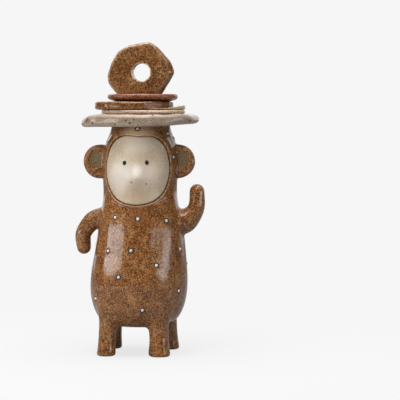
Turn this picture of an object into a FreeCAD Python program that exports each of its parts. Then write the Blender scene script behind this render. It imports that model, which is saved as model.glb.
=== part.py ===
import FreeCAD, Part
import math
import os

# A monkey figurine of glazed stoneware, in millimetres. Z is up and the monkey looks along -Y.
# Left and right are the monkey's own, so its left arm, the raised one, is on +X.
# The origin is on the ground, under the middle of the figurine.

V = FreeCAD.Vector
UP = V(0, 0, 1)
FORWARD = V(0, -1, 0)
CENTRE = V(0, 0, 0)

# The pod: head and torso in one hollow form, thrown and closed, standing on short legs.
# The shares are (height, radius), from the underside to the crown.
leg_height = 21.0
pod_height = 139.0
belly_radius = 34.0
pod_wall = 5.0
pod_profile_shares = [
    (0.0, 0.54), (0.035, 0.80), (0.08, 0.92), (0.14, 0.985), (0.216, 1.0), (0.306, 0.968),
    (0.442, 0.891), (0.552, 0.824), (0.622, 0.768), (0.667, 0.756), (0.778, 0.774),
    (0.843, 0.765), (0.893, 0.738), (0.923, 0.70), (0.953, 0.649), (0.983, 0.607), (1.0, 0.588),
]
profile_tolerance = 0.2
straight_radius_share = 30.0
vent_radius = 1.7
seat_depth = 1.0
overrun = 4.0

# The face plate: a domed oval pressed into a pocket of the head, with a thin raised rim round it.
# Widths run along the curve of the head. The outline's shares are (width, height).
face_half_width = 26.6
face_half_height = 23.5
face_height_share = 0.773
face_turn = 1.6
face_pocket_depth = 2.0
face_groove = 0.4
face_crown = 1.7
face_sink = 0.35
face_rim_width = 1.3
face_rim_height = 0.7
face_outline_shares = [
    (0.07, 0.97), (-0.26, 1.0), (-0.72, 0.85), (-0.93, 0.44), (-1.0, 0.0), (-0.86, -0.52),
    (-0.50, -0.87), (0.04, -1.0), (0.54, -0.86), (0.86, -0.54), (1.0, 0.0), (0.94, 0.46),
    (0.74, 0.84), (0.40, 0.985),
]
nose_height = 3.0
nose_radius = 4.6
nose_place_shares = (0.02, -0.045)
brow_depth = 0.5
brow_radius = 4.4
eye_radius = 1.45
eye_sunk_share = 0.3
eye_place_shares = {"right": (-0.272, 0.215), "left": (0.277, 0.227)}

# The ears: thick discs luted to the head, each with an oval hollow that holds a pad of paler clay.
ear_radius = 11.9
ear_thickness = 7.5
ear_out = 0.9
ear_height_share = 0.811
ear_rounding_share = 0.35
ear_hollow_half_width = 4.1
ear_hollow_half_height = 5.7
ear_hollow_depth = 2.2
ear_hollow_place_shares = (0.28, 0.15)
ear_pad_thickness = 1.2

# The arms: tapered rolls bent at the elbow. The shares are (reach, rise, radius), shoulder to hand.
left_arm_radius = 5.2
left_arm_reach = 11.5
left_arm_rise = 21.0
left_arm_height_share = 0.507
left_arm_shares = [
    (0.16, 0.0, 1.72), (0.60, 0.16, 1.42), (0.93, 0.46, 1.10), (1.0, 0.77, 1.0), (1.0, 1.0, 0.98),
]
right_arm_radius = 5.4
right_arm_reach = 10.9
right_arm_drop = 22.0
right_arm_height_share = 0.539
right_arm_shares = [
    (0.24, -0.07, 1.36), (0.74, -0.28, 1.14), (0.98, -0.573, 1.01), (1.0, -0.84, 0.95),
    (0.97, -1.0, 0.88),
]
shoulder_flare = 1.4

# The legs: four short stubs that lean in under the belly, on flared feet.
# The places are shares of the belly's radius. A leg's shares are (height, radius).
leg_radii = {"front_left": 7.0, "front_right": 6.15, "rear_left": 6.3, "rear_right": 6.3}
leg_place_shares = {
    "front_left": (0.48, -0.57), "front_right": (-0.60, -0.57),
    "rear_left": (0.52, 0.57), "rear_right": (-0.64, 0.57),
}
leg_root = 19.0
leg_lean_share = 0.80
leg_form_shares = [(0.0, 1.05), (0.14, 1.0), (0.35, 0.98), (1.0, 1.04)]
sole_rounding = 1.5

# The hat: five slabs torn from clay sheets, stacked while soft, and a pierced stone on edge.
# Each slab beds a little into what lies under it. under_tilt is how far a slab's underside rises
# from its middle to its left end, and right_lift how far its right-hand rim stands up or droops.
bedding = 0.7
brim = {
    "half_width": 41.0, "half_depth": 38.0, "thickness": 7.5, "shift": 0.65,
    "under_tilt": 1.2, "right_lift": -1.5,
}
lower_slab = {
    "half_width": 29.3, "half_depth": 28.0, "thickness": 2.6, "shift": 2.6,
    "under_tilt": 0.0, "right_lift": 0.0,
}
chip_slab = {
    "half_width": 24.5, "half_depth": 22.5, "thickness": 2.7, "shift": 7.6,
    "under_tilt": 0.0, "right_lift": 0.0,
}
speckled_slab = {
    "half_width": 27.4, "half_depth": 25.5, "thickness": 5.4, "shift": -4.1,
    "under_tilt": 0.0, "right_lift": 0.6,
}
red_slab = {
    "half_width": 24.7, "half_depth": 23.0, "thickness": 5.4, "shift": 2.0,
    "under_tilt": 0.0, "right_lift": 0.3,
}
# Twelve radii, anticlockwise from +X, as shares of the half width and half depth.
brim_shares = [1.0, 1.0, 0.98, 1.0, 1.01, 0.98, 1.0, 1.01, 0.98, 1.0, 0.98, 1.0]
lower_slab_shares = [1.0, 0.97, 1.01, 0.98, 0.96, 1.0, 1.0, 0.97, 0.94, 0.98, 1.0, 1.01]
chip_slab_shares = [1.0, 0.95, 0.88, 0.93, 0.98, 0.96, 1.0, 0.95, 0.97, 1.0, 0.96, 1.01]
speckled_slab_shares = [1.0, 0.96, 1.0, 0.97, 0.93, 0.93, 1.0, 0.92, 0.93, 0.99, 1.0, 0.97]
red_slab_shares = [1.0, 1.01, 0.95, 0.97, 1.0, 1.02, 1.0, 0.96, 0.98, 1.0, 0.97, 1.0]
# A slab's edge as (height, size, lift) shares, from its underside to its top.
round_edge_shares = [
    (0.0, 0.935, 0.0), (0.20, 0.985, 0.8), (0.48, 1.0, 1.0), (0.78, 0.982, 0.7), (1.0, 0.90, 0.0),
]
square_edge_shares = [(0.0, 0.96, 0.0), (0.30, 1.0, 1.0), (0.75, 1.0, 1.0), (1.0, 0.97, 0.0)]
lens_edge_shares = [(0.0, 0.83, 0.0), (0.30, 0.92, 0.4), (0.70, 1.0, 1.0), (1.0, 0.95, 0.0)]
boat_edge_shares = [(0.0, 0.77, 0.0), (0.30, 0.87, 0.4), (0.75, 1.0, 1.0), (1.0, 0.97, 0.0)]

# The pierced stone, an uneven pentagon on edge. Its outline's shares are (half width, height).
stone_height = 36.8
stone_half_width = 23.3
stone_thickness = 9.0
stone_shift = 0.9
stone_sunk = 1.0
stone_corner = 2.6
stone_edge = 1.4
stone_hole_radius = 6.3
stone_hole_place_shares = (0.025, 0.42)
stone_outline_shares = [
    (-0.66, 0.0), (-0.965, 0.22), (-1.0, 0.37), (-0.87, 0.65), (-0.69, 0.835), (-0.31, 0.95),
    (0.25, 1.0), (0.86, 0.60), (1.0, 0.434), (0.59, 0.0),
]

# The dots: small pale plugs with a domed end, each standing in a wider drilled socket.
# The places are (height share of the pod, degrees round from the front towards the left side).
dot_radius = 1.05
dot_proud = 0.55
socket_radius = 1.6
socket_depth = 2.0
front_dot_shares = [
    (0.542, -31.4), (0.537, 3.3), (0.526, 45.8), (0.375, -38.1), (0.381, -4.8), (0.380, 68.0),
    (0.308, 27.7), (0.250, -18.0), (0.174, 61.6), (0.133, -56.3), (0.087, 12.1),
    (0.978, 1.4), (0.957, 64.6), (0.932, 88.0), (0.839, 69.1), (0.906, -62.3),
]
back_dot_shares = [
    (0.40, -78.0), (0.27, -88.0), (0.30, 98.0), (0.62, 120.0), (0.55, 150.0), (0.57, -170.0),
    (0.54, -128.0), (0.43, 122.0), (0.42, 172.0), (0.40, -148.0), (0.33, -114.0), (0.30, 148.0),
    (0.26, -172.0), (0.19, 112.0), (0.17, -136.0), (0.15, 160.0), (0.12, -100.0), (0.09, -168.0),
    (0.95, 138.0), (0.93, -150.0), (0.86, 172.0), (0.82, 128.0), (0.80, -126.0), (0.74, -162.0),
    (0.71, 146.0),
]


# The solids of the body


def pod_curve(inset):
    """The pod's side as a curve in the XZ plane, drawn in by inset at the belly and the ends."""
    low = leg_height + inset
    height = pod_height - 2 * inset
    radius = belly_radius - inset
    points = [V(radius * r, 0, low + height * h) for h, r in pod_profile_shares]
    curve = Part.BSplineCurve()
    curve.interpolate(points)
    return curve


def pod(inset):
    """The pod as a closed solid of revolution. A negative inset makes it larger.

    Its side is a chain of tangent arcs, the flattest of them drawn straight.
    Its seam runs down the middle of the back, clear of every limb and dot.
    """
    side = pod_curve(inset)
    under = V(0, 0, side.StartPoint.z)
    crown = V(0, 0, side.EndPoint.z)
    edges = [Part.makeLine(under, side.StartPoint)]
    for arc in side.toBiArcs(profile_tolerance):
        if arc.Radius > straight_radius_share * belly_radius:
            edges.append(Part.makeLine(arc.StartPoint, arc.EndPoint))
        else:
            edges.append(arc.toShape())
    edges += [Part.makeLine(side.EndPoint, crown), Part.makeLine(crown, under)]
    half = Part.Face(Part.Wire(edges))
    half.rotate(CENTRE, UP, 90)
    return half.revolve(CENTRE, UP, 360)


def closed_wire(points):
    """A smooth closed outline through the points, in four edges."""
    curve = Part.BSplineCurve()
    curve.interpolate(Points=points, PeriodicFlag=True)
    quarter = (curve.LastParameter - curve.FirstParameter) / 4
    starts = [curve.FirstParameter + step * quarter for step in range(4)]
    return Part.Wire([curve.toShape(start, start + quarter) for start in starts])


outer_side = pod_curve(0)


def side_parameter(z):
    """Where the pod's side reaches the height z."""
    low = outer_side.FirstParameter
    high = outer_side.LastParameter
    for _ in range(50):
        middle = (low + high) / 2
        if outer_side.value(middle).z < z:
            low = middle
        else:
            high = middle
    return low


def pod_radius(z):
    return outer_side.value(side_parameter(z)).x


def pod_z(height_share):
    return leg_height + height_share * pod_height


def pod_place(height_share, degrees):
    """A point on the pod, turned round from the front, and the way straight out of the clay."""
    parameter = side_parameter(pod_z(height_share))
    point = outer_side.value(parameter)
    along = outer_side.tangent(parameter)[0]
    turn = FreeCAD.Rotation(UP, degrees - 90)
    return turn.multVec(point), turn.multVec(V(along.z, 0, -along.x))


def tapered_roll(centres, radii):
    """A round roll of clay along a line of centres, with a domed end at the last one."""
    line = Part.BSplineCurve()
    line.interpolate(centres)
    rings = []
    for centre, radius in zip(centres, radii):
        tangent = line.tangent(line.parameter(centre))[0]
        rings.append(Part.Wire(Part.makeCircle(radius, centre, tangent)))
    roll = Part.makeLoft(rings, True)
    tip = Part.makeSphere(radii[-1], centres[-1], tangent, 0, 90, 360)
    return roll.fuse(tip).removeSplitter()


def arm(side, height_share, radius, reach, rise, shares):
    """One arm, from inside the wall out of the shoulder and along its bend. side is 1 on +X."""
    shoulder = pod_z(height_share)
    surface = pod_radius(shoulder)
    centres = [V(side * (surface - pod_wall), 0, shoulder)]
    radii = [radius * shares[0][2] + shoulder_flare]
    for out, up, size in shares:
        centres.append(V(side * (surface + out * reach), 0, shoulder + up * rise))
        radii.append(radius * size)
    return tapered_roll(centres, radii).cut(pod(seat_depth))


def leg(radius, place_shares):
    """One leg: a stub that leans in towards its top, inside the wall, on a rounded sole."""
    sole_x, sole_y = [share * belly_radius for share in place_shares]
    rings = []
    for height, size in leg_form_shares:
        lean = 1 + height * (leg_lean_share - 1)
        centre = V(sole_x * lean, sole_y * lean, height * (leg_height + leg_root))
        rings.append(Part.Wire(Part.makeCircle(radius * size, centre, UP)))
    stub = Part.makeLoft(rings, True)
    sole = min(stub.Edges, key=lambda edge: edge.BoundBox.ZMax)
    return stub.makeFillet(sole_rounding, [sole]).cut(pod(seat_depth))


def ear(side):
    """One ear and its pad. The disc faces forward and is cut to the head's curve."""
    z = pod_z(ear_height_share)
    middle = V(side * (pod_radius(z) + ear_out), ear_thickness / 2, z)
    disc = Part.makeCylinder(ear_radius, ear_thickness, middle, FORWARD)
    rims = [edge for edge in disc.Edges if edge.Closed]
    disc = disc.makeFillet(ear_rounding_share * ear_thickness, rims)
    across, up = [share * ear_radius for share in ear_hollow_place_shares]
    mouth = middle + V(side * across, -ear_thickness, up)
    oval = Part.Ellipse(CENTRE, ear_hollow_half_height, ear_hollow_half_width).toShape()
    oval.rotate(CENTRE, UP, 90)
    oval.rotate(CENTRE, V(1, 0, 0), 90)
    oval.translate(mouth)
    face = Part.Face(Part.Wire(oval))
    hollow = face.extrude(-FORWARD * ear_hollow_depth)
    pad = face.extrude(-FORWARD * ear_pad_thickness)
    pad.translate(-FORWARD * (ear_hollow_depth - ear_pad_thickness))
    head = pod(seat_depth)
    return disc.cut([hollow, head]), pad.cut(pod(0))


# The face


face_z = pod_z(face_height_share)
face_radius = pod_radius(face_z)


def face_angle(width):
    """The turn round the head, in radians, for a width along its curve from the face's middle."""
    return math.radians(face_turn) + width / face_radius


def face_prism(grow):
    """The face's outline, grown by a margin, run straight forward from the head's middle."""
    points = []
    for across, up in face_outline_shares:
        length = math.hypot(across, up)
        width = across * face_half_width + grow * across / length
        z = face_z + up * face_half_height + grow * up / length
        points.append(V(pod_radius(z) * math.sin(face_angle(width)), 0, z))
    return Part.Face(closed_wire(points)).extrude(FORWARD * (belly_radius + overrun))


def hill(width, up, place_shares, radius):
    """A soft round hill of height 1 on the face, about the place given in shares."""
    across = width - place_shares[0] * face_half_width
    rise = up - place_shares[1] * face_half_height
    return math.exp(-(across ** 2 + rise ** 2) / radius ** 2)


def face_lift(width, up):
    """How far the face stands out of the head's own curve."""
    far = (width / face_half_width) ** 2 + (up / face_half_height) ** 2
    lift = (face_crown + face_sink) * max(0.0, 1 - far) - face_sink
    lift += nose_height * hill(width, up, nose_place_shares, nose_radius)
    for shares in eye_place_shares.values():
        lift -= brow_depth * hill(width, up, shares, brow_radius)
    return lift


def face_point(width, up):
    z = face_z + up
    radius = pod_radius(z) + face_lift(width, up)
    angle = face_angle(width)
    return V(radius * math.sin(angle), -radius * math.cos(angle), z)


def face_plate():
    """The plate: its modelled front, cut to the outline and bedded on the pocket's floor."""
    steps = 24
    rows = []
    for i in range(steps + 1):
        up = (2 * i / steps - 1) * (face_half_height + face_groove)
        spread = face_half_width + face_groove
        rows.append([face_point((2 * j / steps - 1) * spread, up) for j in range(steps + 1)])
    front = Part.BSplineSurface()
    front.interpolate(rows)
    block = front.toShape().extrude(-FORWARD * belly_radius)
    return face_prism(0).cut(pod(face_pocket_depth)).common(block)


def eye(shares):
    """A glossy bead, pressed a little below the face."""
    place = face_point(shares[0] * face_half_width, shares[1] * face_half_height)
    inward = V(-place.x, -place.y, 0).normalize()
    return Part.makeSphere(eye_radius, place + inward * (eye_sunk_share * eye_radius), inward)


# The hat


def slab(sizes, outline_shares, edge_shares, seat):
    """A torn slab with an uneven outline, bedded a little below its seat."""
    rings = []
    low = seat - bedding
    full = sizes["thickness"] + bedding
    for height, size, lift in edge_shares:
        points = []
        for index, share in enumerate(outline_shares):
            angle = 2 * math.pi * index / len(outline_shares)
            across = size * share * math.cos(angle)
            z = low + height * full + (1 - height) * across * sizes["under_tilt"]
            z += lift * sizes["right_lift"] * min(0.0, math.cos(angle)) ** 2
            x = sizes["shift"] + across * sizes["half_width"]
            y = size * share * math.sin(angle) * sizes["half_depth"]
            points.append(V(x, y, z))
        rings.append(closed_wire(points))
    return Part.makeLoft(rings, True)


def stone(seat):
    """The pierced stone: a thick pentagon on edge, its corners and edges worn round."""
    bottom = seat - stone_sunk
    height = stone_height + stone_sunk
    back = stone_thickness / 2
    points = []
    for across, up in stone_outline_shares:
        points.append(V(stone_shift + across * stone_half_width, back, bottom + up * height))
    face = Part.Face(Part.makePolygon(points + points[:1]))
    block = face.extrude(FORWARD * stone_thickness)
    corners = [e for e in block.Edges if e.BoundBox.YLength > stone_thickness / 2]
    block = block.makeFillet(stone_corner, corners)
    rims = [e for e in block.Edges if e.BoundBox.YLength < stone_thickness / 2]
    block = block.makeFillet(stone_edge, rims)
    across, up = stone_hole_place_shares
    hole = V(stone_shift + across * stone_half_width, back + overrun, seat + up * stone_height)
    drill = Part.makeCylinder(stone_hole_radius, stone_thickness + 2 * overrun, hole, FORWARD)
    return block.cut(drill), hole


# The dots


def dots():
    """Every plug and every socket, straight out of the clay."""
    plugs = []
    sockets = []
    stem = socket_depth + dot_proud - dot_radius
    for height_share, degrees in front_dot_shares + back_dot_shares:
        point, out = pod_place(height_share, degrees)
        floor = point - out * socket_depth
        body = Part.makeCylinder(dot_radius, stem, floor, out)
        dome = Part.makeSphere(dot_radius, floor + out * stem, out, 0, 90, 360)
        plugs.append(body.fuse(dome).removeSplitter())
        sockets.append(Part.makeCylinder(socket_radius, socket_depth + overrun, floor, out))
    return plugs, sockets


# The pieces, from the ground up


parts = {}
for name, radius in leg_radii.items():
    parts["leg_" + name] = leg(radius, leg_place_shares[name])
parts["arm_left"] = arm(
    1, left_arm_height_share, left_arm_radius, left_arm_reach, left_arm_rise, left_arm_shares)
parts["arm_right"] = arm(
    -1, right_arm_height_share, right_arm_radius, right_arm_reach, right_arm_drop, right_arm_shares)
parts["ear_left"], parts["inner_ear_left"] = ear(1)
parts["ear_right"], parts["inner_ear_right"] = ear(-1)

crown_z = leg_height + pod_height
brim_top = crown_z + brim["thickness"]
lower_top = brim_top + lower_slab["thickness"]
speckled_top = lower_top + speckled_slab["thickness"]
red_top = speckled_top + red_slab["thickness"]
hat_brim = slab(brim, brim_shares, round_edge_shares, crown_z)
hat_lower = slab(lower_slab, lower_slab_shares, square_edge_shares, brim_top)
hat_chip = slab(chip_slab, chip_slab_shares, lens_edge_shares, lower_top)
hat_speckled = slab(speckled_slab, speckled_slab_shares, boat_edge_shares, lower_top)
hat_red = slab(red_slab, red_slab_shares, lens_edge_shares, speckled_top)
hat_stone, stone_hole = stone(red_top)
parts["hat_brim"] = hat_brim.cut(pod(0))
parts["hat_lower_slab"] = hat_lower.cut(hat_brim)
parts["hat_chip_slab"] = hat_chip.cut(hat_lower)
parts["hat_speckled_slab"] = hat_speckled.cut([hat_lower, hat_chip])
parts["hat_red_slab"] = hat_red.cut([hat_speckled, hat_stone])
parts["hat_stone"] = hat_stone

eyes = {name: eye(shares) for name, shares in eye_place_shares.items()}
parts["face_plate"] = face_plate().cut(list(eyes.values()))
for name, bead in eyes.items():
    parts["eye_" + name] = bead

plugs, sockets = dots()
parts["dot_plugs"] = Part.makeCompound(plugs)

opening = face_prism(face_groove)
rim = face_prism(face_groove + face_rim_width).cut(opening).common(pod(-face_rim_height))
rim = rim.cut(pod(seat_depth))
pocket = opening.cut(pod(face_pocket_depth))
vent = Part.makeCylinder(vent_radius, pod_wall + overrun, V(0, 0, leg_height - overrun / 2), UP)
seated = [parts[name] for name in parts if name.startswith(("leg_", "arm_", "ear_"))]
shell = pod(0).fuse(rim).cut([pod(pod_wall), vent, pocket] + sockets + seated)
parts["body_shell"] = max(shell.Solids, key=lambda solid: solid.Volume)

os.makedirs("parts", exist_ok=True)
for name, shape in parts.items():
    shape.exportStep("parts/" + name + ".step")
    solids = len(shape.Solids)
    print(name, "solids", solids, "valid", shape.isValid(), "volume", round(shape.Volume, 1))
whole = Part.makeCompound(list(parts.values())).BoundBox
print("box", [round(v, 2) for v in (whole.XMin, whole.YMin, whole.ZMin, whole.XMax, whole.YMax, whole.ZMax)])
print("stone hole", [round(v, 3) for v in stone_hole])
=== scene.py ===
import bpy
import math
import numpy as np
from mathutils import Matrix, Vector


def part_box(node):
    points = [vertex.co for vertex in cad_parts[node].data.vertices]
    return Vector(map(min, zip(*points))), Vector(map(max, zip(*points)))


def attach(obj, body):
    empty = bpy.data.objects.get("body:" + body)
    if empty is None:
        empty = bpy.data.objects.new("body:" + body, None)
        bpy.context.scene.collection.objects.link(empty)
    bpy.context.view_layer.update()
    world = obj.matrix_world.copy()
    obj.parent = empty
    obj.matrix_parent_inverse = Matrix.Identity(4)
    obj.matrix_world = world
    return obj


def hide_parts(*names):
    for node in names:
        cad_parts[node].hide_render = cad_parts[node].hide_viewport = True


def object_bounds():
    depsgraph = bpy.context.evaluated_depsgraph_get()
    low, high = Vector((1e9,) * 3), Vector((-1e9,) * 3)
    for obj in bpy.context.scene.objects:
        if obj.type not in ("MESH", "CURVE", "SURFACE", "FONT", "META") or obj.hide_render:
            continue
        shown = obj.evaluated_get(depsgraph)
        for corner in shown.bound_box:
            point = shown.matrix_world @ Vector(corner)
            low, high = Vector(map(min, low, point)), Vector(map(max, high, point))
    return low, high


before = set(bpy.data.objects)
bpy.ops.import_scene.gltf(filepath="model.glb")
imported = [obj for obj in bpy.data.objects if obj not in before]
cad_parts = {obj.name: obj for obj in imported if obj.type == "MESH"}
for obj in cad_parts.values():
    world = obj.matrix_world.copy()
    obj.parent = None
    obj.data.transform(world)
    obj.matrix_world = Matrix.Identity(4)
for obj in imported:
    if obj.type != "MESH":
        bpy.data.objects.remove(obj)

import openvdb
from mathutils import Matrix, Vector

# Sizes are in millimetres, and become metres where a mesh is made.
mm = 0.001
cad_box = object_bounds()


# The figure's body: head and torso in one hollow stoneware pod, thrown, closed and pressed a
# little out of round by hand. Legs, arms and ears are luted on while the clay is soft, and their
# roots are smoothed into it, so the clay is worked out as one skin and then parted at the roots.
far_off = 60.0
skin_step = 0.66
normal_reach = 0.35
turn_reach = 1.1
wave_shares = (1.0, 0.72, 0.5)
settle_rounds = 4
cap_rise_share = 0.3


def node_box(node):
    """A node's lowest and highest corner, in millimetres."""
    low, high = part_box(node)
    return np.array(low) / mm, np.array(high) / mm


def spline(points, closed=False, pieces=10):
    """Points along a smooth line through the given ones."""
    points = np.array(points, float)
    if closed:
        points = np.vstack([points[-3:], points, points[:4]])
    knots = np.r_[0, np.cumsum(np.linalg.norm(np.diff(points[:, :3], axis=0), axis=1))]
    steps = np.diff(knots)
    count = len(points)
    system = np.eye(count)
    slope = np.zeros_like(points)
    for i in range(1, count - 1):
        system[i, i - 1:i + 2] = steps[i - 1], 2 * (steps[i - 1] + steps[i]), steps[i]
        rise = (points[i + 1] - points[i]) / steps[i] - (points[i] - points[i - 1]) / steps[i - 1]
        slope[i] = 6 * rise
    bend = np.linalg.solve(system, slope)
    line = []
    first, last = (3, count - 4) if closed else (0, count - 1)
    for i in range(first, last):
        for t in np.arange(pieces) / pieces * steps[i]:
            u = steps[i] - t
            line.append(
                (bend[i] * u ** 3 + bend[i + 1] * t ** 3) / (6 * steps[i])
                + (points[i] / steps[i] - bend[i] * steps[i] / 6) * u
                + (points[i + 1] / steps[i] - bend[i + 1] * steps[i] / 6) * t)
    if not closed:
        line.append(points[last])
    return np.array(line)


def flat_distance(outline, margin=12.0, cell=0.25):
    """A function that gives how far a flat point is outside an outline, less than 0 inside."""
    low = outline.min(0) - margin
    counts = np.ceil((outline.max(0) + margin - low) / cell).astype(int) + 1
    u, v = np.meshgrid(*[low[k] + cell * np.arange(counts[k]) for k in (0, 1)], indexing="ij")
    nearest = np.full(u.shape, far_off ** 2)
    inside = np.zeros(u.shape, bool)
    for a, b in zip(outline, np.roll(outline, -1, axis=0)):
        along = b - a
        share = np.clip(((u - a[0]) * along[0] + (v - a[1]) * along[1]) / (along @ along), 0, 1)
        gap = (u - a[0] - share * along[0]) ** 2 + (v - a[1] - share * along[1]) ** 2
        nearest = np.minimum(nearest, gap)
        if along[1]:
            crosses = (a[1] > v) != (b[1] > v)
            inside ^= crosses & (u < a[0] + (v - a[1]) * along[0] / along[1])
    table = np.where(inside, -1, 1) * np.sqrt(nearest)

    def distance(u, v):
        i = np.clip((u - low[0]) / cell, 0, counts[0] - 1.001)
        j = np.clip((v - low[1]) / cell, 0, counts[1] - 1.001)
        a, b = i.astype(int), j.astype(int)
        i, j = i - a, j - b
        near = table[a, b] * (1 - j) + table[a, b + 1] * j
        beyond = table[a + 1, b] * (1 - j) + table[a + 1, b + 1] * j
        return near * (1 - i) + beyond * i
    return distance


def melt(a, b, reach):
    """Both forms, with the crease between them filled over the reach."""
    share = np.clip(0.5 + 0.5 * (b - a) / reach, 0, 1)
    return b + (a - b) * share - reach * share * (1 - share)


def carve(a, b, reach):
    """What both forms share, with the edge between them rounded over the reach."""
    return -melt(-a, -b, reach)


def unevenness(p, depth, size, seed):
    """The low swells that fingers leave in soft clay."""
    random = np.random.default_rng(seed)
    total = 0
    for wave in wave_shares:
        way = random.normal(size=(3, 3))
        way *= 2 * math.pi / (size * wave * np.linalg.norm(way, axis=1)[:, None])
        total = total + wave * np.sin(p @ way.T + random.uniform(0, 6, 3)).sum(1)
    return depth * total / 4


def slope_of(form, p, reach):
    """Which way a form's distance grows fastest, and how sharply the form turns there."""
    slopes = np.empty_like(p)
    turn = -6 * form(p)
    for axis in range(3):
        ahead, behind = p.copy(), p.copy()
        ahead[:, axis] += reach
        behind[:, axis] -= reach
        ahead, behind = form(ahead), form(behind)
        slopes[:, axis] = (ahead - behind) / (2 * reach)
        turn += ahead + behind
    return slopes, turn / reach ** 2


def settle(form, p):
    """Moves points onto the form's surface."""
    for _ in range(settle_rounds):
        slopes = slope_of(form, p, normal_reach)[0]
        p = p - slopes * (form(p) / np.maximum((slopes ** 2).sum(1), 0.1))[:, None]
    return p


def skin(form, low, high, step):
    """The surface of a form inside a box, as points and triangles."""
    low = np.array(low, float) - 2 * step
    counts = np.ceil((np.array(high) + 2 * step - low) / step).astype(int) + 1
    y, z = np.meshgrid(*[low[k] + step * np.arange(counts[k]) for k in (1, 2)], indexing="ij")
    block = np.empty(counts, np.float32)
    for plane in range(counts[0]):
        x = np.full(y.size, low[0] + step * plane)
        block[plane] = form(np.column_stack([x, y.ravel(), z.ravel()])).reshape(y.shape)
    grid = openvdb.FloatGrid(background=far_off)
    grid.copyFromArray(block)
    points, quads = grid.convertToQuads(isovalue=0.0)
    triangles = np.vstack([quads[:, [0, 1, 2]], quads[:, [0, 2, 3]]])
    return settle(form, low + step * points.astype(float)), triangles


def part(points, triangles, side):
    """Cuts a skin where side changes sign: the points, what is above zero and what is below."""
    above = side[triangles] > 0
    count = above.sum(1)
    mixed = (count == 1) | (count == 2)
    cut, lone_above = triangles[mixed], count[mixed] == 1
    lone = np.argmax(above[mixed] == lone_above[:, None], axis=1)
    a, b, c = [cut[np.arange(len(cut)), (lone + k) % 3] for k in range(3)]
    ends = np.sort(np.vstack([np.column_stack([a, b]), np.column_stack([a, c])]), axis=1)
    edges, index = np.unique(ends, axis=0, return_inverse=True)
    index = index.ravel() + len(points)
    share = side[edges[:, 0]] / (side[edges[:, 0]] - side[edges[:, 1]])
    crossing = points[edges[:, 0]] + share[:, None] * (points[edges[:, 1]] - points[edges[:, 0]])
    ab, ac = index[:len(cut)], index[len(cut):]
    tips = np.column_stack([a, ab, ac])
    rests = np.stack([np.column_stack([ab, b, c]), np.column_stack([ab, c, ac])])
    over = [triangles[count == 3], tips[lone_above], *rests[:, ~lone_above]]
    under = [triangles[count == 0], tips[~lone_above], *rests[:, lone_above]]
    return np.vstack([points, crossing]), np.vstack(over), np.vstack(under)


def close(points, triangles, depth):
    """Closes each open end of a skin with a shallow cone that points into the pod."""
    used, index = np.unique(triangles, return_inverse=True)
    points, triangles = points[used], index.reshape(-1, 3)
    edges = np.vstack([triangles[:, [k, (k + 1) % 3]] for k in range(3)])
    there = {(int(a), int(b)) for a, b in edges}
    follows = {b: a for a, b in there if (b, a) not in there}
    caps = []
    while follows:
        start = next(iter(follows))
        ring, at = [], start
        while at in follows:
            ring.append(at)
            at = follows.pop(at)
        loop = points[ring]
        middle = loop.mean(0)
        inward = np.array([-middle[0], -middle[1], cap_rise_share * (pod_middle_z - middle[2])])
        tip = middle + depth * inward / np.linalg.norm(inward)
        points = np.vstack([points, tip])
        caps += [(a, b, len(points) - 1) for a, b in zip(ring, ring[1:] + ring[:1])]
    return points, np.vstack([triangles, caps]) if caps else triangles


def piece(name, form, points, triangles):
    """A mesh object of a skin, smooth, with how sharply its clay turns kept at each point."""
    mesh = bpy.data.meshes.new(name)
    mesh.from_pydata((points * mm).tolist(), [], triangles.tolist())
    mesh.shade_smooth()
    slopes = slope_of(form, points, normal_reach)[0]
    slopes /= np.maximum(np.linalg.norm(slopes, axis=1), 0.01)[:, None]
    mesh.normals_split_custom_set_from_vertices(slopes.tolist())
    turn = mesh.attributes.new("turn", "FLOAT", "POINT")
    turn.data.foreach_set("value", slope_of(form, points, turn_reach)[1].astype(np.float32))
    made = bpy.data.objects.new(name, mesh)
    bpy.context.scene.collection.objects.link(made)
    return made


pod_low, pod_high = node_box("body_shell")
belly_radius = (pod_high[0] - pod_low[0]) / 2
pod_height = pod_high[2] - pod_low[2]
pod_middle_z = (pod_low[2] + pod_high[2]) / 2
pod_profile_shares = [
    (-0.010, 0.50), (0.020, 0.78), (0.07, 0.91), (0.14, 0.985), (0.216, 1.0), (0.306, 0.966),
    (0.442, 0.893), (0.552, 0.824), (0.622, 0.768), (0.667, 0.756), (0.778, 0.774),
    (0.843, 0.765), (0.893, 0.738), (0.923, 0.70), (0.953, 0.649), (0.983, 0.607), (1.0, 0.588),
]
pod_side = spline(
    [(belly_radius * r, 0, pod_low[2] + pod_height * h) for h, r in pod_profile_shares])[:, [0, 2]]
pod_cut = flat_distance(np.vstack([pod_side, (pod_side * [-1, 1])[::-1]]))
swell_depth = 0.05
swell_size = 46.0
swell_seed = 3
# The pod was set down soft and sways a little sideways: (height share, shift).
pod_sway_shares = [
    (0.0, -0.024), (0.17, -0.02), (0.30, 0.0), (0.43, 0.022), (0.60, 0.015), (0.75, 0.01),
    (0.93, 0.026), (1.0, 0.028),
]


def pod_radius(z):
    """The pod's radius at a height."""
    return np.interp(z, pod_side[:, 1], pod_side[:, 0])


def pod_z(height_share):
    """The height at a share of the pod's height."""
    return pod_low[2] + height_share * pod_height


pod_sway = spline([(belly_radius * shift, 0, pod_z(h)) for h, shift in pod_sway_shares])


def pod_shift(z):
    """How far the pod's axis stands to +X at a height."""
    return np.interp(z, pod_sway[:, 2], pod_sway[:, 0])


def bare_pod(p):
    """The pod as thrown, before anything is pressed into it."""
    swells = unevenness(p, swell_depth, swell_size, swell_seed)
    return pod_cut(np.hypot(p[:, 0] - pod_shift(p[:, 2]), p[:, 1]), p[:, 2]) + swells


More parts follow.
